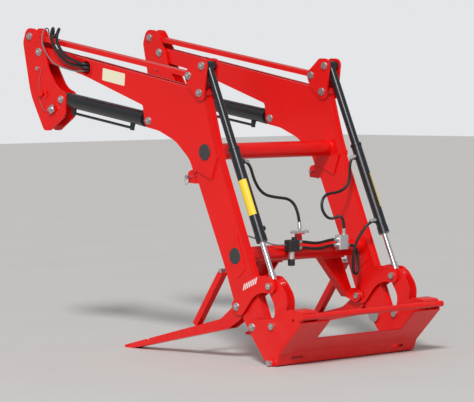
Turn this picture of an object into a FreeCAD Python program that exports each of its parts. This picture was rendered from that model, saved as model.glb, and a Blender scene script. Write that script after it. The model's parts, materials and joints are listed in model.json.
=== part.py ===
import FreeCAD, Part
import math
import os
from FreeCAD import Vector

# Tractor front loader: two goose-neck arms between rear consoles and a front carrier.
# X runs from the tractor to the implement, Y to the left arm, Z up. All sizes in millimetres.
# The origin is on the ground under the middle of the loader.

# Widths
ARM_SPACING = 950.0        # between the middle planes of the two arms
ARM_WIDTH = 52.0           # outside width of an arm's box
PLATE = 8.0                # side plates of an arm
COVER = 6.0                # cover strips between the side plates
COVER_RECESS = 8.0         # how far the covers lie inside the plates' edges
CHEEK = 10.0               # doubler plates on the beam and knee
RUN_GAP = 3.0              # side gap between plates that turn past each other
WASHER_GAP = 0.5           # side gap of a bush in its fork
FIT = 0.05                 # radial clearance of a pin in its bore
BOOM_PLAY = 0.35           # radial clearance of the arms on their rear pivot pins
CONSOLE_PLATE = 10.0
CONSOLE_GAP = 66.0         # between the two plates of a console
CRANK_PLATE = 10.0
LEVER_PLATE = 10.0
LINK_PLATE = 8.0
LINK_HALF = 31.0           # outer faces of a link's plates from the middle plane
CARRIER_PLATE = 10.0
STAND_WALL = 6.0

# Pivots in the side view, x and z
BOOM_PIVOT = (-1100.0, 1738.0)
LEVEL_OFFSET = (-92.0, 97.0)       # levelling rod pivots, seen from the boom pivot and the crank pivot
LIFT_REAR = (-884.0, 1450.0)
LIFT_FRONT = (-69.0, 1326.0)
CRANK_PIVOT = (393.0, 1485.0)
TILT_TOP = (417.0, 1636.0)
UPPER_TUBE = (420.0, 1154.0)
LOWER_TUBE = (658.0, 583.0)
LEVER_PIVOT = (690.0, 306.0)
LEVER_END = (957.0, 434.0)
CARRIER_PIVOT = (832.0, 203.0)
LINK_END = (991.0, 219.0)
TOP_BAR = (1230.0, 284.0)
BOTTOM_TUBE = (985.0, 21.0)
BRACE_PIVOT = (531.0, 494.0)
STORAGE_PIN = (262.0, 1011.0)
BRACE_FOOT = (299.0, 176.0)

# Pins
BOOM_PIN_R = 20.0
PIN_R = 17.5
SMALL_PIN_R = 12.5
HEX_AF = 34.0              # hexagon heads, across flats
HEX_T = 13.0
BUSH_WALL = 8.0

# Cylinders
LIFT_BARREL_R = 44.0
LIFT_BORE_R = 36.0
LIFT_ROD_R = 22.5
LIFT_GLAND_TO_PIN = 62.0   # rod showing at rest, from the barrel's mouth to the front pin
LIFT_EYE_R = 40.0
TILT_TUBE_R = 24.0
TILT_BARREL_R = 30.0
TILT_BORE_R = 24.0
TILT_ROD_R = 15.0
TILT_TUBE_LENGTH = 515.0   # from the top pin to the collar
TILT_BARREL_END = 1060.0   # from the top pin to the barrel's mouth
TILT_EYE_R = 30.0

# Tubes and bars
CROSS_TUBE_R = 46.0
CROSS_TUBE_WALL = 6.0
PLUG_R = 36.0
PLUG_STAND = 6.0
ROD_WIDTH = 60.0           # levelling rod, a flat rectangular tube
ROD_HEIGHT = 28.0
ROD_WALL = 4.0
TOP_BAR_R = 17.0
BOTTOM_TUBE_R = 21.0
BOTTOM_TUBE_WALL = 4.0
LOCK_PIN_R = 15.0
LOCK_PIN_LENGTH = 210.0
LOCK_PIN_STAND = 22.0      # how far a locking pin stands out of its tube
CARRIER_HALF = 550.0       # half the carrier's top bar
FRONT_WING = 205.0         # width of each wing of the carrier's front plate

SIDES = (("right", -1.0), ("left", 1.0))
ARM_Y = ARM_SPACING / 2.0
ARM_HALF = ARM_WIDTH / 2.0
CHEEK_HALF = ARM_HALF + CHEEK
CRANK_IN = CHEEK_HALF + RUN_GAP
CRANK_OUT = CRANK_IN + CRANK_PLATE
CONSOLE_IN = CONSOLE_GAP / 2.0
CONSOLE_OUT = CONSOLE_IN + CONSOLE_PLATE
STAND_IN = ARM_HALF + 2.0
STAND_OUT = STAND_IN + STAND_WALL
LEVER_IN = STAND_OUT + RUN_GAP
LEVER_OUT = LEVER_IN + LEVER_PLATE
CARRIER_IN = LEVER_OUT + RUN_GAP
CARRIER_OUT = CARRIER_IN + CARRIER_PLATE
LINK_IN = LINK_HALF - LINK_PLATE
HOLLOW = ARM_HALF - PLATE


def add(p, q):
    return (p[0] + q[0], p[1] + q[1])


def toward(p, q, length):
    span = math.hypot(q[0] - p[0], q[1] - p[1])
    return (p[0] + (q[0] - p[0]) * length / span, p[1] + (q[1] - p[1]) * length / span)


def beside(p, q, offset):
    # point p moved sideways, to the left of the way from p to q
    span = math.hypot(q[0] - p[0], q[1] - p[1])
    return (p[0] - (q[1] - p[1]) * offset / span, p[1] + (q[0] - p[0]) * offset / span)


def gap(p, q):
    return math.hypot(q[0] - p[0], q[1] - p[1])


CRANK_REAR = add(CRANK_PIVOT, LEVEL_OFFSET)
CONSOLE_TOP = add(BOOM_PIVOT, LEVEL_OFFSET)


def rounded(points):
    # closed outline in the XZ plane; each point is x, z and the radius of its corner
    count = len(points)
    starts = []
    ends = []
    arcs = []
    for i in range(count):
        x, z, radius = points[i]
        px, pz = points[i - 1][0], points[i - 1][1]
        nx, nz = points[(i + 1) % count][0], points[(i + 1) % count][1]
        here = Vector(x, 0, z)
        back = (Vector(px, 0, pz) - here)
        ahead = (Vector(nx, 0, nz) - here)
        back_len, ahead_len = back.Length, ahead.Length
        back.normalize()
        ahead.normalize()
        angle = back.getAngle(ahead)
        cut = radius / math.tan(angle / 2.0)
        cut = min(cut, 0.48 * back_len, 0.48 * ahead_len)
        if radius < 0.5 or math.pi - angle < 0.02:
            starts.append(here)
            ends.append(here)
            arcs.append(None)
            continue
        radius = cut * math.tan(angle / 2.0)
        middle = back + ahead
        middle.normalize()
        centre = here + middle * (radius / math.sin(angle / 2.0))
        starts.append(here + back * cut)
        ends.append(here + ahead * cut)
        arcs.append(centre - middle * radius)
    edges = []
    for i in range(count):
        if arcs[i] is not None:
            edges.append(Part.Arc(starts[i], arcs[i], ends[i]).toShape())
        after = starts[(i + 1) % count]
        if (after - ends[i]).Length > 0.001:
            edges.append(Part.LineSegment(ends[i], after).toShape())
    return Part.Wire(edges)


def slab(points, low, high):
    wire = points if isinstance(points, Part.Wire) else rounded(points)
    body = Part.Face(wire).extrude(Vector(0, high - low, 0))
    body.translate(Vector(0, low, 0))
    return body


def drum(centre, radius, low, high):
    return Part.makeCylinder(radius, high - low, Vector(centre[0], low, centre[1]), Vector(0, 1, 0))


def ring(centre, outer, inner, low, high):
    return drum(centre, outer, low, high).cut(drum(centre, inner, low - 1, high + 1))


def both(shape):
    # the same piece on both sides of the middle plane of an arm
    return shape.fuse(shape.mirror(Vector(0, 0, 0), Vector(0, 1, 0)))


def pair(low, high, maker):
    # the outer and the inner plate of a fork, made by maker(low, high)
    return maker(low, high).fuse(maker(-high, -low))


def fuse(shapes):
    solid = shapes[0].fuse(shapes[1:]) if len(shapes) > 1 else shapes[0]
    return solid.removeSplitter()


def rod(start, end, radius):
    way = end - start
    return Part.makeCylinder(radius, way.Length, start, way)


def hexagon(centre, low, high):
    # a hexagon head whose axis is along Y
    corner = HEX_AF / math.sqrt(3.0)
    points = []
    for i in range(6):
        angle = math.radians(60 * i + 12)
        points.append((centre[0] + corner * math.cos(angle), centre[1] + corner * math.sin(angle), 0))
    return slab(points, low, high)


def headed_pin(centre, radius, half):
    # a pivot pin with a hexagon head on each end, half its grip on either side of the arm
    shaft = drum(centre, radius, -half, half)
    outer = hexagon(centre, half, half + HEX_T)
    inner = hexagon(centre, -half - HEX_T, -half)
    collar = drum(centre, radius + 5.0, half + WASHER_GAP, half + 4.0)
    collar_in = drum(centre, radius + 5.0, -half - 4.0, -half - WASHER_GAP)
    return fuse([shaft, outer, inner, collar, collar_in])


def at_side(shape, sign):
    # a piece modelled round the middle plane of an arm, outer side at +Y, put on its arm
    placed = shape.copy() if sign > 0 else shape.mirror(Vector(0, 0, 0), Vector(0, 1, 0))
    placed.translate(Vector(0, sign * ARM_Y, 0))
    return placed


def save(name, shape):
    os.makedirs("parts", exist_ok=True)
    solids = shape.Solids
    if not shape.isValid() or not solids:
        raise ValueError(name + " is not a valid solid")
    result = solids[0] if len(solids) == 1 else Part.makeCompound(solids)
    result.exportStep("parts/" + name + ".step")
    print(name, len(solids), "solids", round(sum(s.Volume for s in solids) / 1000.0, 1), "cm3")


def save_sides(name, shape):
    # one node per arm
    for side, sign in SIDES:
        save(name + "_" + side, at_side(shape, sign))


def save_both(name, shape):
    # one node that holds the copies of both arms
    copies = [s for side, sign in SIDES for s in at_side(shape, sign).Solids]
    save(name, Part.makeCompound(copies))


# Rear consoles, two plates each, which hang on the tractor
CONSOLE_OUTLINE = [(-1226, 1888, 52), (-1140, 1880, 42), (-1040, 1745, 90), (-1012, 1640, 160),
                   (-930, 1520, 160), (-838, 1488, 42), (-846, 1352, 60), (-1000, 1262, 36),
                   (-1060, 1262, 36), (-1190, 1480, 400), (-1262, 1800, 60)]
CONSOLE_BOSS = (-1079.0, 1484.0)
CONSOLE_BOLT = (-1117.0, 1639.0)
CONSOLE_HOLE = (-961.0, 1392.0)
CONSOLE_FOOT = (-1024.0, 1310.0)


def console():
    plates = pair(CONSOLE_IN, CONSOLE_OUT, lambda low, high: slab(CONSOLE_OUTLINE, low, high))
    # the back plate between the side plates, and a tube that spaces their foot
    back = slab([(-1196, 1700, 0), (-1186, 1700, 0), (-1130, 1470, 0), (-1140, 1470, 0)],
                -CONSOLE_IN, CONSOLE_IN)
    foot = drum(CONSOLE_FOOT, 20.0, -CONSOLE_IN, CONSOLE_IN)
    boss = drum(CONSOLE_BOSS, 26.0, -CONSOLE_IN, CONSOLE_IN)
    body = fuse([plates, back, foot, boss])
    holes = [drum(BOOM_PIVOT, BOOM_PIN_R + FIT, -80, 80), drum(CONSOLE_TOP, PIN_R + FIT, -80, 80),
             drum(LIFT_REAR, PIN_R + FIT, -80, 80), drum(CONSOLE_BOSS, PIN_R + FIT, -80, 80),
             drum(CONSOLE_HOLE, 9.0, -80, 80), drum(CONSOLE_BOLT, 8.0, -80, 80)]
    return body.cut(holes)


def console_lock():
    # the pin that locks the console in its bracket: square plate outside, with a bent handle
    half = 22.0
    x, z = CONSOLE_BOSS
    square = [(x - half, z - half + 4, 4), (x + half, z - half + 12, 4), (x + half, z + half, 4),
              (x - half, z + half - 8, 4)]
    plate = slab(square, CONSOLE_OUT + 0.2, CONSOLE_OUT + 14)
    shaft = drum(CONSOLE_BOSS, PIN_R, -CONSOLE_OUT - 12, CONSOLE_OUT + 14)
    start = Vector(x + half - 4, CONSOLE_OUT + 8, z)
    corner = Vector(x + half + 26, CONSOLE_OUT + 8, z + 16)
    end = Vector(x + half + 32, CONSOLE_OUT + 8, z - 22)
    handle = fuse([rod(start, corner, 5.0), Part.makeSphere(5.0, corner), rod(corner, end, 5.0)])
    return fuse([shaft, plate, handle])


def console_bolt():
    shaft = drum(CONSOLE_BOLT, 7.9, -CONSOLE_OUT - 10, CONSOLE_OUT)
    head = drum(CONSOLE_BOLT, 12.0, CONSOLE_OUT, CONSOLE_OUT + 8)
    nut = drum(CONSOLE_BOLT, 12.0, -CONSOLE_OUT - 10, -CONSOLE_OUT)
    return fuse([shaft, head, nut])


save_sides("console", console())
save_both("console_lock_pins", console_lock())
save_both("console_bolts", console_bolt())
save_both("boom_pivot_pins", headed_pin(BOOM_PIVOT, BOOM_PIN_R, CONSOLE_OUT))
save_both("levelling_rear_pins", headed_pin(CONSOLE_TOP, PIN_R, CONSOLE_OUT))
save_both("lift_rear_pins", headed_pin(LIFT_REAR, PIN_R, CONSOLE_OUT))

# Boom arms: a hollow box of two side plates and recessed covers, with doublers on the beam and knee
ARM_OUTLINE = [(-1152, 1782, 44), (404, 1494, 46), (492, 1190, 800), (932, 168, 58), (798, 140, 50),
               (735, 218, 60), (640, 345, 80), (560, 540, 300), (366, 950, 120), (288, 1112, 160),
               (168, 1212, 220), (20, 1270, 200), (-104, 1292, 34), (-122, 1416, 20),
               (-682, 1596, 600), (-1158, 1698, 44)]
HOSE_HOLE = [(-678, 1680, 36), (-600, 1672, 36), (-600, 1590, 36), (-678, 1598, 36)]


def shrunk(points, amount):
    # the same outline, moved inwards
    return rounded(points).makeOffset2D(-amount)


def eye(centre, radius, half):
    return drum(centre, radius, -half, half)


def boom_arm():
    plates = pair(HOLLOW, ARM_HALF, lambda low, high: slab(ARM_OUTLINE, low, high))
    outer = shrunk(ARM_OUTLINE, COVER_RECESS)
    inner = shrunk(ARM_OUTLINE, COVER_RECESS + COVER)
    covers = slab(outer, -HOLLOW, HOLLOW).cut(slab(inner, -HOLLOW - 1, HOLLOW + 1))
    # the lift cylinder's eye swings in the open lug under the knee
    lug = slab([(-190, 1440, 0), (-40, 1400, 60), (30, 1300, 40), (30, 1200, 0), (-190, 1200, 0)],
               -HOLLOW - 1, HOLLOW + 1)
    covers = covers.cut(lug)
    closing = slab([(-126, 1425, 0), (-30, 1412, 50), (48, 1310, 40), (48, 1264, 0), (40, 1266, 0),
                    (40, 1308, 38), (-34, 1404, 44), (-126, 1417, 0)], -HOLLOW, HOLLOW)
    region = [(-740, 1800, 0), (460, 1560, 0), (700, 1140, 0), (528, 1140, 0), (472, 1000, 0),
              (352, 1046, 0), (240, 1000, 0), (-200, 1180, 0), (-740, 1500, 0)]
    cheek = slab(ARM_OUTLINE, ARM_HALF, CHEEK_HALF).common(slab(region, ARM_HALF, CHEEK_HALF))
    cheeks = both(cheek)
    # small pointed doublers round the lower cross tube
    x, z = LOWER_TUBE
    patch = slab([(x - 66, z + 90, 0), (x + 18, z + 128, 10), (x + 84, z - 70, 0), (x + 18, z - 128, 10)],
                 ARM_HALF, ARM_HALF + 4).common(slab(shrunk(ARM_OUTLINE, 4.0), ARM_HALF, ARM_HALF + 4))
    bosses = [eye(BOOM_PIVOT, BOOM_PIN_R + BUSH_WALL, CONSOLE_IN - WASHER_GAP),
              eye(CRANK_PIVOT, PIN_R + BUSH_WALL, CRANK_IN - WASHER_GAP),
              eye(LEVER_PIVOT, PIN_R + 24.0, ARM_HALF),
              eye(CARRIER_PIVOT, PIN_R + BUSH_WALL + 4, CARRIER_IN - WASHER_GAP)]
    body = fuse([plates, covers, closing, cheeks, both(patch)] + bosses)
    holes = [drum(BOOM_PIVOT, BOOM_PIN_R + BOOM_PLAY, -90, 90), drum(CRANK_PIVOT, PIN_R + FIT, -90, 90),
             drum(LEVER_PIVOT, PIN_R + FIT, -90, 90), drum(CARRIER_PIVOT, PIN_R + FIT, -90, 90),
             drum(LIFT_FRONT, PIN_R + FIT, -90, 90), drum(UPPER_TUBE, CROSS_TUBE_R, -90, 90),
             drum(LOWER_TUBE, CROSS_TUBE_R, -90, 90)]
    return body.cut(holes)


def stub_pins(centre, inner, outer):
    # the two ends of a pivot pin, in the two plates of its fork
    shaft = drum(centre, PIN_R, inner, outer)
    head = hexagon(centre, outer, outer + HEX_T)
    collar = drum(centre, PIN_R + 5.0, outer + WASHER_GAP, outer + 4.0)
    return both(fuse([shaft, head, collar]))


arm = boom_arm()
for side, sign in SIDES:
    placed = at_side(arm, sign)
    if sign < 0:
        # the supply hoses enter the right arm through its outer side
        placed = placed.cut(slab(HOSE_HOLE, -ARM_Y - CHEEK_HALF - 1, -ARM_Y - HOLLOW + 1))
    save("boom_arm_" + side, placed)
save_both("lift_front_pins", stub_pins(LIFT_FRONT, HOLLOW + 0.5, CHEEK_HALF))


def cross_tube(centre):
    half = ARM_Y + ARM_HALF
    return ring(centre, CROSS_TUBE_R, CROSS_TUBE_R - CROSS_TUBE_WALL, -half, half)


def plugs():
    # moulded plugs that close the tubes' outer ends
    bodies = []
    for centre, face in ((UPPER_TUBE, CHEEK_HALF), (LOWER_TUBE, ARM_HALF)):
        hold = drum(centre, CROSS_TUBE_R - CROSS_TUBE_WALL, ARM_HALF - 20, ARM_HALF)
        throat = drum(centre, CROSS_TUBE_R, ARM_HALF, face) if face > ARM_HALF else None
        cap = drum(centre, CROSS_TUBE_R, face, face + PLUG_STAND)
        cap = cap.makeFillet(3.0, [e for e in cap.Edges if e.Closed and e.CenterOfMass.y > face + 1])
        bodies.append(fuse([s for s in (hold, throat, cap) if s]))
    return Part.makeCompound(bodies)


save("upper_cross_tube", cross_tube(UPPER_TUBE))
save("lower_cross_tube", cross_tube(LOWER_TUBE))
save_both("tube_plugs", plugs())


STRUT_T = 6.0
STRUT_REAR = 600.0         # rear face of a strut's web
STRUT_DEPTH = 55.0
STRUT_EYE = 63.0           # outer face of its eye plate, from the arm's middle plane


def plate_x(points, low, high):
    # a plate with its outline in the YZ plane, between two X positions
    corners = [Vector(low, y, z) for y, z in points]
    return Part.Face(Part.makePolygon(corners + corners[:1])).extrude(Vector(high - low, 0, 0))


def strut():
    # tapered channel from under the lower tube to the inner end of the lever's pivot pin,
    # with y measured from the arm's middle plane and the middle of the loader at -Y
    top = LOWER_TUBE[1] - CROSS_TUBE_R - 3.0
    eye_y = -STRUT_EYE
    a, b = (-310.0, top), (-157.0, top)
    c, d = (eye_y, LEVER_PIVOT[1] + 16.0), (eye_y - 40.0, LEVER_PIVOT[1] - 10.0)
    web = plate_x([a, b, c, d], STRUT_REAR, STRUT_REAR + STRUT_T)
    left = plate_x([a, (a[0] + 9, a[1]), (d[0] + 9, d[1]), d], STRUT_REAR, STRUT_REAR + STRUT_DEPTH)
    right = plate_x([(b[0] - 7, b[1]), b, c, (c[0] - 7, c[1])], STRUT_REAR, STRUT_REAR + STRUT_DEPTH)
    x, z = LOWER_TUBE
    saddle = Part.makeBox(72, 176, 30, Vector(STRUT_REAR - 2, -320, top - 4))
    x, z = LEVER_PIVOT
    ear = slab([(STRUT_REAR, z + 36, 6), (STRUT_REAR, z - 14, 6), (x, z - 44, 44), (x + 46, z, 44),
                (x, z + 44, 44)], eye_y - STRUT_T, eye_y)
    body = fuse([web, left, right, saddle, ear])
    return body.cut([drum(LOWER_TUBE, CROSS_TUBE_R, -400, 0), drum(LEVER_PIVOT, PIN_R + FIT, -90, 0)])


save_both("diagonal_struts", strut())

# Storage brackets for the folded stands, with their ring pins, on the arms' rear faces
BRACKET_T = 8.0
EAR_IN = 21.3              # ears of the brace's bracket
EAR_OUT = 27.0


def largest(shape):
    return max(shape.Solids, key=lambda solid: solid.Volume)


def storage_bracket():
    x, z = STORAGE_PIN
    plate = slab([(x - 26, z - 34, 12), (x - 26, z + 30, 22), (x + 20, z + 42, 10), (x + 92, z + 20, 0),
                 (x + 112, z - 30, 0), (x + 40, z - 38, 10)], -BRACKET_T / 2, BRACKET_T / 2)
    return largest(plate.cut([drum(STORAGE_PIN, 8.0 + FIT, -20, 20), arm]))


def storage_pin():
    x, z = STORAGE_PIN
    out = STAND_OUT + 1.5
    shaft = drum(STORAGE_PIN, 8.0, -30, out)
    head = drum(STORAGE_PIN, 12.0, out, out + 6)
    loop = Part.makeTorus(16.0, 2.2, Vector(x, out + 3, z - 26.0), Vector(0, 1, 0))
    return fuse([shaft, head, loop])


def brace_bracket():
    x, z = BRACE_PIVOT
    ears = pair(EAR_IN, EAR_OUT, lambda low, high: slab([(x - 22, z - 26, 18), (x - 22, z + 22, 18),
                                                         (x + 46, z + 34, 0), (x + 84, z - 44, 0)], low, high))
    base = slab([(x + 36, z + 30, 0), (x + 46, z + 34, 0), (x + 84, z - 44, 0), (x + 66, z - 44, 0)],
                -EAR_OUT, EAR_OUT)
    return largest(fuse([ears, base]).cut([drum(BRACE_PIVOT, SMALL_PIN_R + FIT, -60, 60), arm]))


save_both("storage_brackets", storage_bracket())
save_both("storage_pins", storage_pin())
save_both("brace_brackets", brace_bracket())


save_both("brace_pins", drum(BRACE_PIVOT, SMALL_PIN_R, -EAR_OUT - 0.3, EAR_OUT + 0.3))

# Levelling rods and bell cranks


def levelling_rod():
    front_cut = toward(CRANK_REAR, CONSOLE_TOP, 20.0)
    rear_cut = toward(CONSOLE_TOP, CRANK_REAR, 20.0)
    half = ROD_HEIGHT / 2.0
    tube = slab([beside(rear_cut, front_cut, half) + (0,), beside(front_cut, rear_cut, -half) + (0,),
                 beside(front_cut, rear_cut, half) + (0,), beside(rear_cut, front_cut, -half) + (0,)],
                -ROD_WIDTH / 2, ROD_WIDTH / 2)
    hole = half - ROD_WALL
    void = slab([beside(rear_cut, front_cut, hole) + (0,), beside(front_cut, rear_cut, -hole) + (0,),
                 beside(front_cut, rear_cut, hole) + (0,), beside(rear_cut, front_cut, -hole) + (0,)],
                -ROD_WIDTH / 2 + ROD_WALL, ROD_WIDTH / 2 - ROD_WALL)
    rear = drum(CONSOLE_TOP, PIN_R + BUSH_WALL, -CONSOLE_IN + WASHER_GAP, CONSOLE_IN - WASHER_GAP)
    front = drum(CRANK_REAR, PIN_R + BUSH_WALL, -CRANK_IN + WASHER_GAP, CRANK_IN - WASHER_GAP)
    body = fuse([tube.cut(void), rear, front])
    return body.cut([drum(CONSOLE_TOP, PIN_R + FIT, -90, 90), drum(CRANK_REAR, PIN_R + FIT, -90, 90)])


def bell_crank():
    bx, bz = CRANK_PIVOT
    rx, rz = CRANK_REAR
    tx, tz = TILT_TOP
    outline = [(tx - 46, tz + 44, 34), (tx + 44, tz + 40, 40), (bx + 36, bz - 42, 24), (bx - 14, bz - 44, 30),
               (rx - 10, rz - 66, 60), (rx - 42, rz + 12, 36), (rx + 10, rz + 50, 40)]
    plates = pair(CRANK_IN, CRANK_OUT, lambda low, high: slab(outline, low, high))
    # a stay between the plates, clear of the knee, the rod and the cylinder
    stay = drum((rx + 48, rz + 8), 11.0, -CRANK_IN, CRANK_IN)
    body = fuse([plates, stay])
    return body.cut([drum(p, PIN_R + FIT, -90, 90) for p in (CRANK_PIVOT, CRANK_REAR, TILT_TOP)])


save_both("levelling_rods", levelling_rod())
save_both("bell_cranks", bell_crank())
save_both("crank_pivot_pins", headed_pin(CRANK_PIVOT, PIN_R, CRANK_OUT))
save_both("levelling_front_pins", headed_pin(CRANK_REAR, PIN_R, CRANK_OUT))
save_both("tilt_top_pins", headed_pin(TILT_TOP, PIN_R, CRANK_OUT))


def space(p, y=0.0):
    return Vector(p[0], y, p[1])


def lift_barrel():
    mouth = toward(LIFT_FRONT, LIFT_REAR, LIFT_GLAND_TO_PIN)
    cap = toward(LIFT_REAR, LIFT_FRONT, 57.0)
    gland = toward(LIFT_FRONT, LIFT_REAR, LIFT_GLAND_TO_PIN + 44.0)
    tube = rod(space(cap), space(mouth), LIFT_BARREL_R)
    head = rod(space(gland), space(mouth), LIFT_BARREL_R + 2.0)
    ear = drum(LIFT_REAR, LIFT_EYE_R, -26, 26)
    neck = rod(space(toward(LIFT_REAR, LIFT_FRONT, 20.0)), space(cap), 23.0)
    bush = drum(LIFT_REAR, PIN_R + BUSH_WALL, -CONSOLE_IN + WASHER_GAP, CONSOLE_IN - WASHER_GAP)
    ports = []
    for start in (80.0, 640.0):
        foot = toward(LIFT_REAR, LIFT_FRONT, start)
        low = beside(foot, LIFT_FRONT, -(LIFT_BARREL_R + 16.0))
        ports.append(rod(space(foot), space(low), 15.0))
    floor = toward(LIFT_REAR, LIFT_FRONT, 72.0)
    body = tube.fuse([head, ear, neck, bush] + ports)
    bore = rod(space(floor), space(gland), LIFT_BORE_R)
    way = rod(space(floor), space(LIFT_FRONT), LIFT_ROD_R + FIT)
    return body.cut([bore, way, drum(LIFT_REAR, PIN_R + FIT, -90, 90)])


def lift_pipe():
    # the steel pipe under the barrel, between the banjo ends on its two ports
    ends = []
    route = []
    for along in (80.0, 640.0):
        foot = toward(LIFT_REAR, LIFT_FRONT, along)
        top = beside(foot, LIFT_FRONT, -(LIFT_BARREL_R + 16.0))
        low = beside(foot, LIFT_FRONT, -(LIFT_BARREL_R + 40.0))
        ends.append(rod(space(top), space(low), 13.0))
        route.append(space(beside(foot, LIFT_FRONT, -(LIFT_BARREL_R + 28.0))))
    return fuse([rod(route[0], route[1], 8.0)] + ends)


def lift_rod():
    gland = toward(LIFT_FRONT, LIFT_REAR, LIFT_GLAND_TO_PIN + 46.0)
    inner = toward(LIFT_FRONT, LIFT_REAR, 745.0)
    shoulder = toward(LIFT_FRONT, LIFT_REAR, LIFT_GLAND_TO_PIN)
    shaft = rod(space(inner), space(shoulder), LIFT_ROD_R)
    half = HOLLOW - 1.0
    up, down = beside(shoulder, LIFT_FRONT, 20.0), beside(shoulder, LIFT_FRONT, -20.0)
    neck = slab([up + (0,), beside(LIFT_FRONT, shoulder, -26.0) + (0,), beside(LIFT_FRONT, shoulder, 26.0) + (0,),
                 down + (0,)], -half, half)
    piston = rod(space(inner), space(toward(inner, LIFT_FRONT, 36.0)), LIFT_BORE_R - FIT)
    ear = drum(LIFT_FRONT, 33.0, -half, half)
    return fuse([shaft, piston, neck, ear])


save_both("lift_barrels", lift_barrel())
save_both("lift_pipes", lift_pipe())
save_both("lift_rods", lift_rod())


def tilt_barrel():
    collar = toward(TILT_TOP, LEVER_END, TILT_TUBE_LENGTH)
    mouth = toward(TILT_TOP, LEVER_END, TILT_BARREL_END)
    gland = toward(TILT_TOP, LEVER_END, TILT_BARREL_END - 40.0)
    neck = rod(space(toward(TILT_TOP, LEVER_END, 20.0)), space(collar), TILT_TUBE_R)
    ear = drum(TILT_TOP, PIN_R + BUSH_WALL + 2, -CRANK_IN + WASHER_GAP, CRANK_IN - WASHER_GAP)
    band = rod(space(toward(TILT_TOP, LEVER_END, TILT_TUBE_LENGTH - 14)), space(collar), TILT_BARREL_R + 3)
    barrel = rod(space(collar), space(mouth), TILT_BARREL_R)
    head = rod(space(gland), space(mouth), TILT_BARREL_R + 2)
    ports = []
    for along in (TILT_TUBE_LENGTH + 70.0, TILT_BARREL_END - 78.0):
        foot = toward(TILT_TOP, LEVER_END, along)
        ports.append(rod(space(foot), space(foot, -TILT_BARREL_R - 14.0), 14.0))
    body = fuse([neck, ear, band, barrel, head] + ports)
    floor = toward(TILT_TOP, LEVER_END, TILT_TUBE_LENGTH + 30.0)
    body = body.cut(rod(space(floor), space(gland), TILT_BORE_R))
    body = body.cut(rod(space(floor), space(LEVER_END), TILT_ROD_R + FIT))
    return body.cut(drum(TILT_TOP, PIN_R + FIT, -90, 90))


def tilt_rod():
    inner = toward(TILT_TOP, LEVER_END, TILT_BARREL_END - 200.0)
    shaft = rod(space(inner), space(toward(LEVER_END, TILT_TOP, 70.0)), TILT_ROD_R)
    piston = rod(space(inner), space(toward(inner, LEVER_END, 30.0)), TILT_BORE_R - FIT)
    neck = rod(space(toward(LEVER_END, TILT_TOP, 78.0)), space(toward(LEVER_END, TILT_TOP, 22.0)), 19.0)
    ear = drum(LEVER_END, TILT_EYE_R, -LINK_IN + 1.5, LINK_IN - 1.5)
    return fuse([shaft, piston, neck, ear])


save_both("tilt_barrels", tilt_barrel())
save_both("tilt_rods", tilt_rod())

# Guide levers, links and the pins between them
LEVER_OUTLINE = [(642, 316, 40), (800, 488, 130), (985, 484, 50), (1006, 392, 44), (850, 400, 150),
                 (732, 262, 42), (668, 258, 40)]
LINK_OUTLINE = [(915, 462, 40), (1000, 482, 60), (1080, 380, 110), (1068, 214, 70), (1000, 172, 42),
                (950, 198, 36), (992, 312, 90), (940, 392, 70)]


def guide_lever():
    plates = pair(LEVER_IN, LEVER_OUT, lambda low, high: slab(LEVER_OUTLINE, low, high))
    return plates.cut([drum(p, PIN_R + FIT, -90, 90) for p in (LEVER_PIVOT, LEVER_END)])


def lever_stubs():
    shaft = drum(LEVER_END, PIN_R, LINK_IN, LEVER_OUT)
    flange = drum(LEVER_END, PIN_R + 8, LINK_HALF + 1.5, LEVER_IN)
    head = hexagon(LEVER_END, LEVER_OUT, LEVER_OUT + HEX_T)
    return both(fuse([shaft, flange, head]))


def link():
    plates = pair(LINK_IN, LINK_HALF, lambda low, high: slab(LINK_OUTLINE, low, high))
    eye = drum(LINK_END, PIN_R + BUSH_WALL, -LINK_HALF, LINK_HALF)
    return fuse([plates, eye]).cut(drum(LEVER_END, PIN_R + FIT, -90, 90))


def link_stubs():
    shaft = drum(LINK_END, PIN_R, LINK_HALF + 1.5, CARRIER_OUT)
    flange = drum(LINK_END, PIN_R + 8, LINK_HALF + 1.5, CARRIER_IN)
    head = hexagon(LINK_END, CARRIER_OUT, CARRIER_OUT + HEX_T)
    return both(fuse([shaft, flange, head]))


save_both("guide_levers", guide_lever())
save_both("lever_end_pins", lever_stubs())
save_both("carrier_links", link())
longer = drum(LEVER_PIVOT, PIN_R, -STRUT_EYE - STRUT_T - 8.0, -LEVER_OUT)
save_both("lever_pivot_pins", fuse([headed_pin(LEVER_PIVOT, PIN_R, LEVER_OUT), longer]))
save_both("link_end_pins", link_stubs())
plate_washer = drum(CARRIER_PIVOT, 40.0, -CARRIER_OUT - 16.0, -CARRIER_OUT - WASHER_GAP)
save_both("carrier_pivot_pins", fuse([headed_pin(CARRIER_PIVOT, PIN_R, CARRIER_OUT), plate_washer]))

# Carrier: the quick-attach frame for implements
CARRIER_OUTLINE = [(795, 243, 30), (1000, 258, 12), (1128, 320, 14), (1206, 314, 12), (1250, 284, 14),
                   (1040, 76, 16), (1010, 4, 14), (950, 4, 20), (795, 190, 34)]
FRONT_T = 8.0
CROSS_TOP = 0.42           # where the lower cross plate ends, as a share of the slanted face


def carrier_side():
    plates = pair(CARRIER_IN, CARRIER_OUT, lambda low, high: slab(CARRIER_OUTLINE, low, high))
    cap = slab([(1136, 310, 0), (1136, 320, 0), (1206, 314, 0), (1222, 303, 0), (1214, 296, 0), (1202, 305, 0)],
               -CARRIER_IN, CARRIER_IN)
    body = fuse([plates, cap])
    cuts = [drum(p, PIN_R + FIT, -90, 90) for p in (CARRIER_PIVOT, LINK_END)]
    cuts.append(drum(TOP_BAR, TOP_BAR_R, -90, 90))
    cuts.append(drum(BOTTOM_TUBE, BOTTOM_TUBE_R, -90, 90))
    cuts.append(drum((1158, 262), 9.0, -90, 90))
    return body.cut(cuts)


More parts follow.
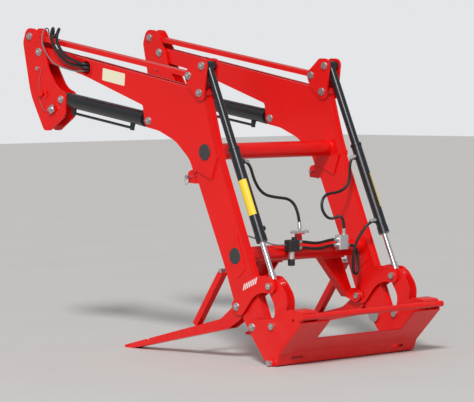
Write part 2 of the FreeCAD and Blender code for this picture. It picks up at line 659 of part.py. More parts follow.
def front_profile(low, high, start, end):
    # a stretch of the bent front plate, from share start to share end of its slanted face
    foot = (1042.0, 76.0)
    top = (1226.0, 258.0)
    a = (foot[0] + (top[0] - foot[0]) * start, foot[1] + (top[1] - foot[1]) * start)
    b = (foot[0] + (top[0] - foot[0]) * end, foot[1] + (top[1] - foot[1]) * end)
    points = [a, b, beside(b, a, FRONT_T), beside(a, b, -FRONT_T)]
    return slab([p + (0,) for p in points], low, high)


def carrier_front():
    # one bent plate: two wings up to the top bar and a lower cross plate between them
    wing_out = ARM_Y + CARRIER_OUT
    lower = slab([(1041, 78, 0), (1049, 76, 0), (1022, 8, 0), (1012, 8, 0)], -wing_out, wing_out)
    cross = front_profile(-wing_out, wing_out, 0.0, CROSS_TOP)
    wings = []
    for side, sign in SIDES:
        low, high = sorted((sign * wing_out, sign * (wing_out - FRONT_WING)))
        wings.append(front_profile(low, high, 0.0, 1.0))
    body = fuse([lower, cross] + wings)
    body = body.cut([drum(TOP_BAR, TOP_BAR_R, -600, 600), drum(BOTTOM_TUBE, BOTTOM_TUBE_R, -600, 600)])
    for side, sign in SIDES:
        slot = Part.makeBox(60, 86, 16, Vector(1000, sign * 392 - 43, 34))
        body = body.cut(slot)
    cut = body
    for side, sign in SIDES:
        side_plates = at_side(carrier_side_solid, sign)
        cut = cut.cut(side_plates)
    return cut


carrier_side_solid = carrier_side()
save_sides("carrier_side", carrier_side_solid)
save("carrier_front_plate", carrier_front())
save("carrier_top_bar", drum(TOP_BAR, TOP_BAR_R, -CARRIER_HALF, CARRIER_HALF))


def bottom_tube():
    half = ARM_Y + CARRIER_OUT + 8.0
    tube = ring(BOTTOM_TUBE, BOTTOM_TUBE_R, BOTTOM_TUBE_R - BOTTOM_TUBE_WALL, -half, half)
    for side, sign in SIDES:
        # the slot for the handle of the locking pin
        middle = sign * (half - 150.0)
        tube = tube.cut(Part.makeBox(14, 90, 30, Vector(BOTTOM_TUBE[0] - 7, middle - 75 * (sign > 0) - 15 * (sign < 0),
                                                        BOTTOM_TUBE[1] + 2)))
    collars = []
    for side, sign in SIDES:
        near = sign * (half - 30.0)
        low, high = sorted((near, sign * half))
        collars.append(ring(BOTTOM_TUBE, BOTTOM_TUBE_R - BOTTOM_TUBE_WALL, LOCK_PIN_R + FIT, low, high))
    return fuse([tube] + collars)


def lock_pin(sign):
    half = ARM_Y + CARRIER_OUT + 8.0
    tip = sign * (half + LOCK_PIN_STAND)
    tail = tip - sign * LOCK_PIN_LENGTH
    low, high = sorted((tip, tail))
    shaft = drum(BOTTOM_TUBE, LOCK_PIN_R, low, high)
    x, z = BOTTOM_TUBE
    stem = rod(Vector(x, sign * (half - 150.0), z), Vector(x, sign * (half - 150.0), z + 62), 5.0)
    knob = Part.makeSphere(11.0, Vector(x, sign * (half - 150.0), z + 66))
    return fuse([shaft, stem, knob])


save("carrier_bottom_tube", bottom_tube())
for side, sign in SIDES:
    save("lock_pin_" + side, lock_pin(sign))

# Parking stands: a leg of bent channel and a square-tube brace on each side
LEG_SIDE = [(-312, 0, 0), (-242, 0, 8), (600, 176, 60), (712, 240, 50), (734, 318, 36), (676, 346, 40),
            (640, 300, 60), (540, 226, 120), (-312, 14, 0)]


def stand_leg():
    flanges = pair(STAND_IN, STAND_OUT, lambda low, high: slab(LEG_SIDE, low, high))
    web = slab([(-312, 0, 0), (-242, 0, 0), (598, 175.5, 0), (596, 182, 0), (-244, 6, 0), (-312, 6, 0)],
               -STAND_IN, STAND_IN)
    body = fuse([flanges, web])
    # the storage pin enters the flanges through notches in their upper edges
    seat = fold_point(STORAGE_PIN)
    mouth = (seat[0] - 12.0, seat[1] + 60.0)
    notch = slab([beside(seat, mouth, NOTCH_R) + (0,), beside(seat, mouth, -NOTCH_R) + (0,),
                  beside(mouth, seat, NOTCH_R) + (0,), beside(mouth, seat, -NOTCH_R) + (0,)], -60, 60)
    return body.cut([drum(LEVER_PIVOT, PIN_R + FIT, -90, 90), drum(seat, NOTCH_R, -60, 60), notch])


NOTCH_R = 15.0
FOLD_ANGLE = -75.0         # how far the leg turns up to its storage place


def fold_point(p):
    # where a point of the folded leg lies when the leg is down
    angle = math.radians(-FOLD_ANGLE)
    dx, dz = p[0] - LEVER_PIVOT[0], p[1] - LEVER_PIVOT[1]
    return (LEVER_PIVOT[0] + dx * math.cos(angle) - dz * math.sin(angle),
            LEVER_PIVOT[1] + dx * math.sin(angle) + dz * math.cos(angle))


def stand_brace():
    half = 19.0
    width = 20.0
    a = BRACE_PIVOT
    b = BRACE_FOOT
    tube = slab([beside(a, b, half) + (18,), beside(a, b, -half) + (18,), beside(b, a, half) + (0,),
                 beside(b, a, -half) + (0,)], -width, width)
    return tube.cut(drum(BRACE_PIVOT, SMALL_PIN_R + FIT, -60, 60))


save_sides("stand_leg", stand_leg())
save_sides("stand_brace", stand_brace())


# Hydraulics on the lower cross tube
BLOCK_SIZE = (44.0, 70.0, 84.0)
BLOCK_CORNER = (708.0, 216.0, 582.0)
VALVE_SIZE = (50.0, 78.0, 66.0)
VALVE_CORNER = (708.0, -180.0, 592.0)
TOWER_Y = (-62.0, 8.0)
HOSE_R = 8.5
SUPPLY_R = 9.5
CABLE_R = 4.0


def box(corner, size):
    return Part.makeBox(size[0], size[1], size[2], Vector(*corner))


def tube_shell():
    return drum(LOWER_TUBE, CROSS_TUBE_R, -ARM_Y, ARM_Y)


def block_with_mount(corner, size):
    # a block on a plate that is welded to the front of the lower tube
    plate = box((corner[0] - 6, corner[1] + 8, corner[2] - 14), (6, size[1] - 16, size[2]))
    foot = box((LOWER_TUBE[0] + 20, corner[1] + 16, corner[2] - 4), (corner[0] - LOWER_TUBE[0] - 20, 8, 30))
    return plate.fuse(foot).cut(tube_shell())


def manifold():
    body = box(BLOCK_CORNER, BLOCK_SIZE)
    edges = [e for e in body.Edges]
    return body.makeChamfer(3.0, edges)


def valve():
    body = box(VALVE_CORNER, VALVE_SIZE)
    x, y, z = VALVE_CORNER
    head = Part.makeCylinder(16, 14, Vector(x + 24, y + 58, z + VALVE_SIZE[2]), Vector(0, 0, 1))
    return fuse([body.makeChamfer(4.0, body.Edges), head])


def coil():
    x, y, z = VALVE_CORNER
    return Part.makeCylinder(18.0, 42.0, Vector(x + 24, y + 34, z - 42.0), Vector(0, 0, 1))


def coil_cap():
    x, y, z = VALVE_CORNER
    cap = Part.makeCylinder(20.0, 38.0, Vector(x + 24, y + 34, z - 80.0), Vector(0, 0, 1))
    low = [e for e in cap.Edges if e.Closed and e.CenterOfMass.z < z - 79]
    return cap.makeFillet(6.0, low)


def tower():
    # bent bracket on top of the tube, with a clamp for the upper hoses
    x, z = LOWER_TUBE
    low, high = TOWER_Y
    back = plate_x([(low, z + 20), (high, z + 20), (high - 12, z + 104), (low + 12, z + 104)], x + 2, x + 8)
    top = box((x + 2, low + 12, z + 98), (34, high - low - 24, 6))
    return fuse([back, top]).cut(tube_shell())


def tower_clamp():
    x, z = LOWER_TUBE
    low, high = TOWER_Y
    bar = box((x + 6, low - 28, z + 104), (22, high - low + 56, 12))
    bolts = [Part.makeCylinder(7.0, 8.0, Vector(x + 17, y, z + 116), Vector(0, 0, 1))
             for y in (low - 14, (low + high) / 2, high + 14)]
    return fuse([bar] + bolts)


def hose(points, radius):
    # a hose along straight runs between the route's points, with an arc at each corner
    route = [Vector(*p) for p in points]
    last = len(route) - 1
    edges = []
    here = route[0]
    for i in range(1, last):
        back, ahead = route[i - 1] - route[i], route[i + 1] - route[i]
        # an arc takes half of each run beside it, or nearly all of an end run
        cut = min(back.Length * (0.9 if i == 1 else 0.5), ahead.Length * (0.9 if i == last - 1 else 0.5))
        start, end = route[i] + back.normalize() * cut, route[i] + ahead.normalize() * cut
        middle = (back + ahead).normalize()
        half = back.getAngle(ahead) / 2.0
        depth = cut / math.cos(half) - cut * math.tan(half)
        if (start - here).Length > 0.01:
            edges.append(Part.LineSegment(here, start).toShape())
        edges.append(Part.Arc(start, route[i] + middle * depth, end).toShape())
        here = end
    edges.append(Part.LineSegment(here, route[last]).toShape())
    circle = Part.Wire(Part.makeCircle(radius, route[0], route[1] - route[0]))
    return Part.Wire(edges).makePipeShell([circle], True, True)


def fitting(start, end, radius):
    # crimped end of a hose with a hexagon nut, drawn as a round ferrule and a wider collar
    a, b = Vector(*start), Vector(*end)
    way = (b - a).normalize()
    return fuse([rod(a, b, radius), rod(a, a + way * 9.0, radius + 3.0)])


def port(side, along):
    # outer end of a port of a tilt cylinder, on the side of the loader's middle
    x, z = toward(TILT_TOP, LEVER_END, along)
    return (x, side * (ARM_Y - TILT_BARREL_R - 14.0), z)


UPPER_PORT = TILT_TUBE_LENGTH + 70.0
LOWER_PORT = TILT_BARREL_END - 78.0
bx, by, bz = BLOCK_CORNER
vx, vy, vz = VALVE_CORNER
block_left = by + BLOCK_SIZE[1]
block_top = bz + BLOCK_SIZE[2]
LINK_HOSES = []
for height in (28.0, 60.0):
    start = (bx + 22, vy + VALVE_SIZE[1] + 34, bz + height)
    end = (bx + 22, by - 34, bz + height)
    middle = (start[1] + end[1]) / 2.0
    LINK_HOSES.append([start, (start[0], start[1] + 24, start[2]), (start[0], middle, start[2] - 16),
                       (end[0], end[1] - 24, end[2]), end])
ux, uy, uz = port(-1, UPPER_PORT)
RIGHT_HOSE = [(ux, uy, uz), (ux, uy + 40, uz), (ux - 12, -340, 985), (ux - 20, -270, 915),
              (ux - 20, -180, 895), (ux - 16, -50, 880), (LOWER_TUBE[0] + 17, -27, 780),
              (LOWER_TUBE[0] + 17, -27, LOWER_TUBE[1] + 125)]
ux, uy, uz = port(1, UPPER_PORT)
LEFT_HOSE = [(ux, uy, uz), (ux, uy - 40, uz), (ux, 395, 960), (ux - 10, 330, 905), (ux - 20, 205, 900),
             (ux - 10, 165, 820), (ux + 10, 215, 745), (bx + 22, block_left - 16, 790),
             (bx + 22, block_left - 16, block_top + 36)]
lx, ly, lz = port(1, LOWER_PORT)
LOW_HOSE = [(lx, ly, lz), (lx, ly - 40, lz), (lx - 30, 345, 672), (lx - 48, 314, 600), (lx - 52, 304, 500),
            (lx - 56, 312, 440), (lx - 62, 352, 440), (lx - 72, 368, 520), (bx + 22, 362, 604),
            (bx + 22, block_left + 24, 604)]
COUPLER_CORNER = (-1168.0, -432.0, 1792.0)
COUPLER_SIZE = (48.0, 34.0, 56.0)
cx, cy, cz = (COUPLER_CORNER[i] + COUPLER_SIZE[i] for i in range(3))
HOLE_Y = -ARM_Y - HOLLOW + 4.0
OUT_Y = -ARM_Y - CHEEK_HALF - SUPPLY_R - 2.0
SUPPLY_A = [(cx, cy - 18, cz - 14), (cx + 30, cy - 18, cz - 14), (-1040, -452, 1898), (-975, OUT_Y - 6, 1816),
            (-885, OUT_Y - 4, 1712), (-790, OUT_Y - 2, 1660), (-690, OUT_Y - 6, 1650), (-630, OUT_Y - 4, 1634),
            (-622, HOLE_Y + 12, 1631)]
SUPPLY_B = [(cx, cy - 18, cz - 38), (cx + 40, cy - 18, cz - 38), (-985, -440, 1896), (-922, OUT_Y - 8, 1808),
            (-835, OUT_Y - 10, 1714), (-748, OUT_Y - 8, 1684), (-697, -538.5, 1672), (-636, -532.5, 1656),
            (-634, -477, 1654)]
CABLE = [(cx - 24, cy - 10, cz), (cx - 24, cy - 10, cz + 44), (-1086, -500, 1870), (-1062, -527, 1780),
         (-965, -527, 1672), (-860, -522, 1640), (-735, -524, 1616), (-648, -528, 1618), (-648, HOLE_Y + 12, 1622)]
cable_x, cable_y = LOWER_TUBE[0] - 30, -ARM_Y + ARM_HALF
SIGNAL = [(cable_x, cable_y, 700), (cable_x, cable_y + 30, 700), (cable_x + 50, -290, 650),
          (vx + 14, -250, 630), (vx + 14, vy, 630)]


def coupler():
    body = box(COUPLER_CORNER, COUPLER_SIZE)
    return body.makeChamfer(3.0, body.Edges)


def grommet():
    outline = rounded(HOSE_HOLE)
    lip = slab(outline.makeOffset2D(9.0), -ARM_Y - CHEEK_HALF - 5, -ARM_Y - CHEEK_HALF)
    return lip.cut(slab(HOSE_HOLE, -ARM_Y - 60, -ARM_Y))


save("manifold_block", manifold())
mounts = [block_with_mount(BLOCK_CORNER, BLOCK_SIZE), block_with_mount(VALVE_CORNER, VALVE_SIZE), tower()]
save("hydraulic_mounts", Part.makeCompound([s for m in mounts for s in m.Solids]))
save("control_valve", valve())
save("valve_coil", coil())
save("coil_cap", coil_cap())
save("tower_clamp", tower_clamp())
save("supply_coupler", coupler())
fittings = []
for route in LINK_HOSES:
    fittings.append(fitting((route[0][0], route[0][1] - 34, route[0][2]), route[0], HOSE_R + 1.5))
    fittings.append(fitting((route[-1][0], route[-1][1] + 34, route[-1][2]), route[-1], HOSE_R + 1.5))
fittings.append(fitting((bx + 22, block_left - 16, block_top), LEFT_HOSE[-1], HOSE_R + 1.5))
fittings.append(fitting((bx + 22, block_left, 604), LOW_HOSE[-1], HOSE_R + 1.5))
save("hose_fittings", Part.makeCompound(fittings))
save("link_hoses", Part.makeCompound([hose(route, HOSE_R) for route in LINK_HOSES]))
save("tilt_hoses", Part.makeCompound([hose(route, HOSE_R) for route in (RIGHT_HOSE, LEFT_HOSE, LOW_HOSE)]))
save("supply_hoses", Part.makeCompound([hose(route, SUPPLY_R) for route in (SUPPLY_A, SUPPLY_B)]))
save("hose_grommet", grommet())
save("supply_cable", hose(CABLE, CABLE_R))
save("signal_cable", hose(SIGNAL, CABLE_R))
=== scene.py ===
import bpy, bmesh, json, math
from mathutils import Matrix, Vector


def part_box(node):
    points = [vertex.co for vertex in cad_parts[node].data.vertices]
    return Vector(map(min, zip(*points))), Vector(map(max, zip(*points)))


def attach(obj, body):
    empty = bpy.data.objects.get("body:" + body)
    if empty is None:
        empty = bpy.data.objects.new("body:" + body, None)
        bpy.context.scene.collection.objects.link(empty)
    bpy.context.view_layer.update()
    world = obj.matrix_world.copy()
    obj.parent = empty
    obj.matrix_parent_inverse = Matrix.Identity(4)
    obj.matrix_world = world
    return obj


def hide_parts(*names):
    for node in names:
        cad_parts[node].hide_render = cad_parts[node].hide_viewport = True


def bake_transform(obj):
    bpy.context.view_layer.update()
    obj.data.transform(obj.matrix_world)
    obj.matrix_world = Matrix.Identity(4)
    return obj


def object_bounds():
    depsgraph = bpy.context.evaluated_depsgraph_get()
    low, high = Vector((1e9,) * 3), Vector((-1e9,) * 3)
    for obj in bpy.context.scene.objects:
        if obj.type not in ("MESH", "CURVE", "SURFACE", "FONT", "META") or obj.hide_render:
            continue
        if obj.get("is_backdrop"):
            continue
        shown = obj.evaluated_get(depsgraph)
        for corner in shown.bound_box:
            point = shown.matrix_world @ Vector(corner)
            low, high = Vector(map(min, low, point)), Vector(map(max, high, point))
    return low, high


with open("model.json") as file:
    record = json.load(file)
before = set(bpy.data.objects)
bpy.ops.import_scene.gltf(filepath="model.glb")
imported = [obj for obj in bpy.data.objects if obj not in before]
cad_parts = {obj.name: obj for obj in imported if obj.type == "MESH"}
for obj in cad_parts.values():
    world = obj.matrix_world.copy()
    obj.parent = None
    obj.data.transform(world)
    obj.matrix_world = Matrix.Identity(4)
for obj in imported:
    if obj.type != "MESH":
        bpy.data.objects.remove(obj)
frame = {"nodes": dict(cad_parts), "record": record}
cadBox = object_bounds()
nodes = frame["nodes"]
print("frame loaded:", len(nodes), "nodes")


# small helpers that every piece uses

def deselectAll():
    if bpy.context.mode != "OBJECT":
        bpy.ops.object.mode_set(mode="OBJECT")
    bpy.ops.object.select_all(action="DESELECT")


def makeActive(obj):
    deselectAll()
    obj.select_set(True)
    bpy.context.view_layer.objects.active = obj


def startEdit(obj, mode="FACE"):
    makeActive(obj)
    bpy.ops.object.mode_set(mode="EDIT")
    bpy.ops.mesh.select_mode(type=mode)
    bpy.ops.mesh.select_all(action="DESELECT")
    return bmesh.from_edit_mesh(obj.data)


def pickFaces(obj, test):
    mesh = bmesh.from_edit_mesh(obj.data)
    for face in mesh.faces:
        face.select_set(bool(test(face)))
    bmesh.update_edit_mesh(obj.data)


def endEdit():
    bpy.ops.object.mode_set(mode="OBJECT")


def applyAll(obj):
    makeActive(obj)
    for modifier in list(obj.modifiers):
        bpy.ops.object.modifier_apply(modifier=modifier.name)
    bpy.ops.object.transform_apply(location=True, rotation=True, scale=True)


def bevelEdges(obj, width, segments=2, angle=0.6):
    makeActive(obj)
    modifier = obj.modifiers.new("softEdges", "BEVEL")
    modifier.width = width
    modifier.segments = segments
    modifier.limit_method = "ANGLE"
    modifier.angle_limit = angle
    bpy.ops.object.modifier_apply(modifier=modifier.name)


def smoothByAngle(obj, angle=0.7):
    makeActive(obj)
    bpy.ops.object.shade_smooth_by_angle(angle=angle)


def turnTo(direction, spin=0.0):
    # rotation that takes local Z to a direction
    return Vector(direction).to_track_quat("Z", "Y").to_matrix().to_4x4() @ Matrix.Rotation(spin, 4, "Z")


def copyTo(source, name, place, direction=(0, 0, 1), spin=0.0, size=1.0):
    # a copy with its own mesh, its place baked into the mesh
    piece = source.copy()
    piece.data = source.data.copy()
    piece.name = name
    bpy.context.scene.collection.objects.link(piece)
    piece.data.transform(Matrix.Translation(Vector(place)) @ turnTo(direction, spin) @ Matrix.Scale(size, 4))
    return piece


def joinPieces(pieces, name):
    deselectAll()
    for piece in pieces:
        piece.select_set(True)
    bpy.context.view_layer.objects.active = pieces[0]
    if len(pieces) > 1:
        bpy.ops.object.join()
    pieces[0].name = name
    return pieces[0]


def dress(obj, body, material):
    obj.data.materials.clear()
    obj.data.materials.append(material)
    if body:
        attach(obj, body)
    return obj


# camera, at the photograph's viewing angle

cameraLook = {
    "place": (9.964, -8.789, 1.523),
    "azimuth": 48.256,       # degrees, counted from +Y towards -X
    "pitch": 2.919,          # degrees down
    "roll": -0.480,
    "lens": 171.65,
    "sensor": 36.0,
}
azimuth, pitch, roll = (math.radians(cameraLook[key]) for key in ("azimuth", "pitch", "roll"))
flat = math.cos(pitch)
forward = Vector((-math.sin(azimuth) * flat, math.cos(azimuth) * flat, -math.sin(pitch)))
level = Vector((math.cos(azimuth), math.sin(azimuth), 0.0))
rightWay = level * math.cos(roll) + level.cross(forward) * math.sin(roll)
upWay = rightWay.cross(forward)
turn = Matrix((rightWay, upWay, -forward)).transposed()
bpy.ops.object.camera_add(location=cameraLook["place"], rotation=turn.to_euler())
camera = bpy.context.object
camera.data.lens = cameraLook["lens"]
camera.data.sensor_width = cameraLook["sensor"]
camera.data.clip_end = 200.0
bpy.context.scene.camera = camera
print("camera placed")


# shared shader groups

def newGroup(name, inputs, outputs):
    group = bpy.data.node_groups.new(name, "ShaderNodeTree")
    for label, kind, value in inputs:
        socket = group.interface.new_socket(name=label, in_out="INPUT", socket_type="NodeSocket" + kind)
        if value is not None:
            socket.default_value = value
    for label, kind in outputs:
        group.interface.new_socket(name=label, in_out="OUTPUT", socket_type="NodeSocket" + kind)
    start = group.nodes.new("NodeGroupInput")
    end = group.nodes.new("NodeGroupOutput")
    return group, start, end


def addNode(tree, kind, **values):
    node = tree.nodes.new("ShaderNode" + kind)
    for key, value in values.items():
        setattr(node, key, value)
    return node


def ramp(tree, source, low, high, invert=False):
    node = addNode(tree, "MapRange")
    node.inputs["From Min"].default_value = low
    node.inputs["From Max"].default_value = high
    if invert:
        node.inputs["To Min"].default_value = 1.0
        node.inputs["To Max"].default_value = 0.0
    tree.links.new(source, node.inputs["Value"])
    return node.outputs["Result"]


def mixColour(tree, factor, first, second, blend="MIX"):
    node = addNode(tree, "Mix", data_type="RGBA", blend_type=blend)
    for socket, value in ((node.inputs[0], factor), (node.inputs[6], first), (node.inputs[7], second)):
        if isinstance(value, (int, float, tuple)):
            socket.default_value = value
        else:
            tree.links.new(value, socket)
    return node.outputs[2]


def mathOf(tree, operation, first, second):
    node = addNode(tree, "Math", operation=operation)
    for socket, value in ((node.inputs[0], first), (node.inputs[1], second)):
        if isinstance(value, (int, float)):
            socket.default_value = value
        else:
            tree.links.new(value, socket)
    return node.outputs[0]


def noiseOf(tree, coordinates, scale, detail=3.0, roughness=0.5, distortion=0.0):
    node = addNode(tree, "TexNoise")
    node.inputs["Scale"].default_value = scale
    node.inputs["Detail"].default_value = detail
    node.inputs["Roughness"].default_value = roughness
    node.inputs["Distortion"].default_value = distortion
    tree.links.new(coordinates, node.inputs["Vector"])
    return node.outputs["Fac"]


def makePaintGroup():
    # sprayed coat: slow colour drift, orange peel and roughness patches
    inputs = [("Vector", "Vector", None), ("Colour", "Color", (0.7, 0.01, 0.01, 1)),
              ("Drift", "Float", 0.12), ("Roughness", "Float", 0.3)]
    outputs = [("Colour", "Color"), ("Roughness", "Float"), ("Height", "Float")]
    group, start, end = newGroup("sprayedCoat", inputs, outputs)
    vector = start.outputs["Vector"]
    slow = noiseOf(group, vector, 2.2, 2.0)
    fine = noiseOf(group, vector, 38.0, 3.0)
    peel = noiseOf(group, vector, 420.0, 1.0)
    darker = mixColour(group, 1.0, start.outputs["Colour"], (0.72, 0.70, 0.70, 1), "MULTIPLY")
    amount = mathOf(group, "MULTIPLY", ramp(group, slow, 0.35, 0.7), start.outputs["Drift"])
    group.links.new(mixColour(group, amount, start.outputs["Colour"], darker), end.inputs["Colour"])
    patches = mathOf(group, "MULTIPLY", ramp(group, fine, 0.3, 0.75), 0.10)
    group.links.new(mathOf(group, "ADD", start.outputs["Roughness"], patches), end.inputs["Roughness"])
    height = mathOf(group, "ADD", mathOf(group, "MULTIPLY", peel, 0.5), mathOf(group, "MULTIPLY", fine, 0.5))
    group.links.new(height, end.inputs["Height"])
    return group


def makeDustGroup():
    # dry dust: more near the ground, on upward faces and in patches
    group, start, end = newGroup("dryDust", [("Vector", "Vector", None), ("Normal", "Vector", None),
                                              ("Colour", "Color", (0.5, 0.5, 0.5, 1)),
                                              ("Roughness", "Float", 0.4), ("Amount", "Float", 0.3)],
                                 [("Colour", "Color"), ("Roughness", "Float")])
    split = addNode(group, "SeparateXYZ")
    group.links.new(start.outputs["Vector"], split.inputs[0])
    facing = addNode(group, "SeparateXYZ")
    group.links.new(start.outputs["Normal"], facing.inputs[0])
    low = ramp(group, split.outputs["Z"], 0.0, 0.55, invert=True)
    upward = ramp(group, facing.outputs["Z"], 0.3, 1.0)
    nearGround = mathOf(group, "MULTIPLY", low, 0.55)
    onTop = mathOf(group, "MULTIPLY", upward, 0.45)
    where = mathOf(group, "MAXIMUM", nearGround, onTop)
    patch = ramp(group, noiseOf(group, start.outputs["Vector"], 14.0, 6.0, 0.65), 0.42, 0.72)
    mask = mathOf(group, "MULTIPLY", mathOf(group, "MULTIPLY", where, patch), start.outputs["Amount"])
    dusty = mixColour(group, mask, start.outputs["Colour"], (0.42, 0.37, 0.31, 1))
    group.links.new(dusty, end.inputs["Colour"])
    group.links.new(mathOf(group, "ADD", start.outputs["Roughness"], mathOf(group, "MULTIPLY", mask, 0.5)),
                    end.inputs["Roughness"])
    return group


def makeScratchGroup():
    # fine straight marks in two directions
    group, start, end = newGroup("fineMarks", [("Vector", "Vector", None), ("Amount", "Float", 0.3)],
                                 [("Mask", "Float")])
    masks = []
    for turned in (0.35, 1.9):
        mapping = addNode(group, "Mapping")
        mapping.inputs["Rotation"].default_value = (turned, turned * 0.5, turned)
        mapping.inputs["Scale"].default_value = (6.0, 160.0, 160.0)
        group.links.new(start.outputs["Vector"], mapping.inputs["Vector"])
        masks.append(ramp(group, noiseOf(group, mapping.outputs["Vector"], 1.0, 2.0), 0.68, 0.76))
    total = mathOf(group, "MAXIMUM", masks[0], masks[1])
    group.links.new(mathOf(group, "MULTIPLY", total, start.outputs["Amount"]), end.inputs["Mask"])
    return group


paintGroup = makePaintGroup()
dustGroup = makeDustGroup()
scratchGroup = makeScratchGroup()


def placeGroup(tree, group, **values):
    node = tree.nodes.new("ShaderNodeGroup")
    node.node_tree = group
    for label, value in values.items():
        if isinstance(value, (int, float, tuple)):
            node.inputs[label].default_value = value
        else:
            tree.links.new(value, node.inputs[label])
    return node


def makeSurface(name, look):
    material = bpy.data.materials.new(name)
    material.use_nodes = True
    tree = material.node_tree
    shader = tree.nodes["Principled BSDF"]
    place = addNode(tree, "TexCoord").outputs["Object"]
    normal = addNode(tree, "NewGeometry").outputs["Normal"]
    coat = placeGroup(tree, paintGroup, Vector=place, Colour=look["colour"] + (1,),
                      Drift=look.get("drift", 0.2), Roughness=look["roughness"])
    marks = placeGroup(tree, scratchGroup, Vector=place, Amount=look.get("marks", 0.15))
    markColour = look.get("markColour", (0.3, 0.3, 0.3)) + (1,)
    worn = mixColour(tree, marks.outputs["Mask"], coat.outputs["Colour"], markColour)
    dust = placeGroup(tree, dustGroup, Vector=place, Normal=normal, Colour=worn, Amount=look.get("dust", 0.3),
                      Roughness=coat.outputs["Roughness"])
    tree.links.new(dust.outputs["Colour"], shader.inputs["Base Color"])
    tree.links.new(dust.outputs["Roughness"], shader.inputs["Roughness"])
    shader.inputs["Metallic"].default_value = look.get("metallic", 0.0)
    shader.inputs["Specular IOR Level"].default_value = look.get("specular", 0.4)
    shader.inputs["Coat Weight"].default_value = look.get("coat", 0.0)
    shader.inputs["Coat Roughness"].default_value = look.get("coatRoughness", 0.1)
    bump = addNode(tree, "Bump")
    bump.inputs["Strength"].default_value = look.get("bump", 0.1)
    bump.inputs["Distance"].default_value = look.get("bumpDistance", 0.0006)
    tree.links.new(coat.outputs["Height"], bump.inputs["Height"])
    tree.links.new(bump.outputs["Normal"], shader.inputs["Normal"])
    material.diffuse_color = look["colour"] + (1,)
    return material


finishes = {
    "redPaint": {"colour": (0.74, 0.004, 0.003), "roughness": 0.30, "specular": 0.30, "coat": 0.12,
                 "coatRoughness": 0.10, "drift": 0.30, "marks": 0.02, "markColour": (0.50, 0.08, 0.05),
                 "dust": 0.10, "bump": 0.04},
    "blackPaint": {"colour": (0.010, 0.011, 0.015), "roughness": 0.24, "specular": 0.45, "coat": 0.2,
                   "drift": 0.3, "marks": 0.04, "dust": 0.08, "bump": 0.03},
    "zincSteel": {"colour": (0.62, 0.63, 0.63), "roughness": 0.34, "metallic": 1.0, "drift": 0.5,
                  "marks": 0.3, "markColour": (0.3, 0.29, 0.27), "dust": 0.25, "bump": 0.12},
    "chromeRod": {"colour": (0.80, 0.81, 0.83), "roughness": 0.12, "metallic": 1.0, "drift": 0.15,
                  "marks": 0.03, "dust": 0.03, "bump": 0.01},
    "aluminiumBlock": {"colour": (0.70, 0.71, 0.72), "roughness": 0.40, "metallic": 0.9, "drift": 0.4,
                       "marks": 0.25, "markColour": (0.4, 0.4, 0.4), "dust": 0.2, "bump": 0.2},
    "blackPlastic": {"colour": (0.018, 0.018, 0.020), "roughness": 0.45, "drift": 0.3, "marks": 0.15,
                     "dust": 0.3, "bump": 0.25},
    "plugPlastic": {"colour": (0.045, 0.043, 0.045), "roughness": 0.42, "drift": 0.4, "marks": 0.3,
                    "markColour": (0.12, 0.11, 0.11), "dust": 0.35, "bump": 0.3},
    "hoseRubber": {"colour": (0.010, 0.010, 0.011), "roughness": 0.38, "drift": 0.3, "marks": 0.05,
                   "dust": 0.2, "bump": 0.5, "bumpDistance": 0.0012},
    "greyCable": {"colour": (0.16, 0.16, 0.17), "roughness": 0.5, "drift": 0.3, "marks": 0.05, "dust": 0.2,
                  "bump": 0.3},
    "palePlate": {"colour": (0.80, 0.74, 0.55), "roughness": 0.42, "drift": 0.15, "marks": 0.08,
                  "markColour": (0.5, 0.45, 0.35), "dust": 0.15, "bump": 0.05},
    "yellowPlate": {"colour": (0.82, 0.56, 0.03), "roughness": 0.40, "drift": 0.15, "marks": 0.1,
                    "markColour": (0.3, 0.2, 0.05), "dust": 0.15, "bump": 0.05},
    "whitePlate": {"colour": (0.80, 0.80, 0.78), "roughness": 0.40, "drift": 0.12, "marks": 0.06,
                   "dust": 0.15, "bump": 0.05},
}
surface = {name: makeSurface(name, look) for name, look in finishes.items()}
print("materials made:", len(surface))

slotSurface = {
    "red_paint": "redPaint",
    "black_paint": "blackPaint",
    "chrome_rod": "chromeRod",
    "zinc_steel": "zincSteel",
    "silver_block": "aluminiumBlock",
    "black_plastic": "blackPlastic",
    "plug_plastic": "plugPlastic",
    "black_rubber": "hoseRubber",
    "grey_cable": "greyCable",
}
nodeSlot = {part["node"]: part["material_slot"] for part in frame["record"]["subparts"]}
for name, obj in nodes.items():
    obj.data.materials.clear()
    obj.data.materials.append(surface[slotSurface.get(nodeSlot.get(name), "redPaint")])
print("frame dressed")


# hoses and cables, each on one smooth line through its route

